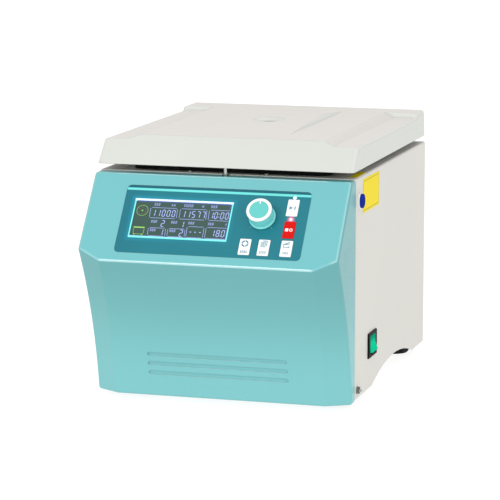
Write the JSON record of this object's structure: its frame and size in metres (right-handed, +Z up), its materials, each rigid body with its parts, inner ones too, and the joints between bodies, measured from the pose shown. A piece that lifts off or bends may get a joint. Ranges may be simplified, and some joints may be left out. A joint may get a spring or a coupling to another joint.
{
  "type": "cytocentrifuge",
  "caption": "Benchtop cytocentrifuge with a hinged lid, faceted control panel, push-and-turn knob, keys, rocker switch and a slide rotor in its chamber.",
  "frame": {"origin": "on the bench, under the middle of the machine", "axes": "+Z up, +Y from the control panel to the rear, +X to the operator's right"},
  "size_m": [0.3071, 0.4334, 0.3035],
  "materials": {
    "casing_paint": "fine satin powder coat",
    "lid_plastic": "satin moulded",
    "panel_teal": "satin moulded",
    "overlay_teal": "satin film",
    "display_cyan": "gloss",
    "display_glass": "dark display",
    "black_plastic": "fine texture",
    "circuit_green": "solder mask",
    "lamp_white": "diffuse lens",
    "lamp_red": "diffuse lens",
    "stainless": "brushed",
    "steel_guard": "primer",
    "zinc_steel": "zinc plated",
    "spring_steel": "oiled",
    "chrome_screw": "polished",
    "black_rubber": "matt",
    "motor_cast": "painted",
    "white_plastic": "satin",
    "key_red": "satin",
    "knob_teal": "satin",
    "blue_plastic": "gloss",
    "rocker_green": "translucent",
    "label_yellow": "film",
    "liner_aluminium": "satin",
    "rotor_aluminium": "anodised",
    "window_glass": "clear",
    "slide_glass": "clear",
    "funnel_plastic": "translucent",
    "card_white": "absorbent card"
  },
  "bodies": {
    "cabinet": {"base_plate": "zinc_steel", "blank_labels": "label_yellow", "cabinet_wrap": "casing_paint", "case_screws": "chrome_screw", "chamber_bowl": "stainless", "chamber_trim": "black_rubber", "control_board": "circuit_green", "control_overlay": "overlay_teal", "display_frame": "display_cyan", "display_glass": "display_glass", "display_module": "black_plastic", "fan_frame": "black_plastic", "front_panel": "panel_teal", "fuse_holder": "black_plastic", "guard_barrel": "steel_guard", "hinge_brackets": "zinc_steel", "hinge_pins": "stainless", "hinge_springs": "spring_steel", "lock_housing": "zinc_steel", "lock_solenoid": "zinc_steel", "motor_bearings": "stainless", "motor_dampers": "black_rubber", "motor_housing": "motor_cast", "plug_collar": "white_plastic", "power_board": "circuit_green", "power_inlet": "black_plastic", "rear_panel": "casing_paint", "rubber_feet": "black_rubber", "shaft_boot": "black_rubber", "start_lamp": "lamp_white", "stop_lamp": "lamp_red", "switch_bezel": "black_plastic"},
    "lid": {"lid_shell": "lid_plastic", "lid_liner": "liner_aluminium", "lid_seal": "black_rubber", "lid_window": "window_glass", "lid_striker": "stainless", "lid_screws": "chrome_screw", "hinge_arms": "zinc_steel"},
    "knob_stem": {"encoder_stem": "stainless"},
    "knob": {"knob_body": "knob_teal", "knob_ring": "white_plastic", "knob_cap": "knob_teal"},
    "power_rocker": {"power_rocker": "rocker_green"},
    "lock_bolt": {"lock_bolt": "stainless"},
    "release_plug": {"release_plug": "blue_plastic"},
    "rotor": {"motor_shaft": "stainless", "rotor_body": "rotor_aluminium", "rotor_nut": "rotor_aluminium", "slide_clips": "stainless", "glass_slides": "slide_glass", "filter_cards": "card_white", "sample_funnels": "funnel_plastic"},
    "fan": {"fan_impeller": "black_plastic"},
    "start_key": {"start_key": "white_plastic"},
    "stop_key": {"stop_key": "key_red"},
    "lid_key": {"lid_key": "white_plastic"},
    "program_key": {"program_key": "white_plastic"},
    "mode_key": {"mode_key": "white_plastic"}
  },
  "joints": [
    {"name": "lid_hinge", "type": "hinge", "parent": "cabinet", "child": "lid", "pos_m": [0, 0.2055, 0.274], "axis": [-1, 0, 0], "range_deg": [0, 72]},
    {"name": "knob_push", "type": "slide", "parent": "cabinet", "child": "knob_stem", "axis": [0, 0.7929, -0.6094], "range_m": [0, 0.0005], "stiffness_N_per_m": 1500, "springref_m": -0.001},
    {"name": "knob_turn", "type": "hinge", "parent": "knob_stem", "child": "knob", "pos_m": [0.0562, -0.17711, 0.21995], "axis": [0, -0.7929, 0.6094], "continuous": true},
    {"name": "start_key_press", "type": "slide", "parent": "cabinet", "child": "start_key", "axis": [0, 0.7929, -0.6094], "range_m": [0, 0.0005], "stiffness_N_per_m": 800, "springref_m": -0.0006},
    {"name": "stop_key_press", "type": "slide", "parent": "cabinet", "child": "stop_key", "axis": [0, 0.7929, -0.6094], "range_m": [0, 0.0005], "stiffness_N_per_m": 800, "springref_m": -0.0006},
    {"name": "lid_key_press", "type": "slide", "parent": "cabinet", "child": "lid_key", "axis": [0, 0.7929, -0.6094], "range_m": [0, 0.0005], "stiffness_N_per_m": 800, "springref_m": -0.0006},
    {"name": "program_key_press", "type": "slide", "parent": "cabinet", "child": "program_key", "axis": [0, 0.7929, -0.6094], "range_m": [0, 0.0005], "stiffness_N_per_m": 800, "springref_m": -0.0006},
    {"name": "mode_key_press", "type": "slide", "parent": "cabinet", "child": "mode_key", "axis": [0, 0.7929, -0.6094], "range_m": [0, 0.0005], "stiffness_N_per_m": 800, "springref_m": -0.0006},
    {"name": "power_rocker_tilt", "type": "hinge", "parent": "cabinet", "child": "power_rocker", "pos_m": [0.146, -0.053, 0.0597], "axis": [0, 1, 0], "range_deg": [0, 18]},
    {"name": "lock_bolt_slide", "type": "slide", "parent": "cabinet", "child": "lock_bolt", "axis": [-1, 0, 0], "range_m": [0, 0.006], "stiffness_N_per_m": 120, "springref_m": -0.004},
    {"name": "release_plug_pull", "type": "slide", "parent": "cabinet", "child": "release_plug", "axis": [1, 0, 0], "range_m": [0, 0.018]},
    {"name": "rotor_spin", "type": "hinge", "parent": "cabinet", "child": "rotor", "pos_m": [0, 0.0425, 0.1632], "axis": [0, 0, 1], "continuous": true},
    {"name": "fan_spin", "type": "hinge", "parent": "cabinet", "child": "fan", "pos_m": [-0.082, 0.2075, 0.09], "axis": [0, 1, 0], "continuous": true}
  ]
}
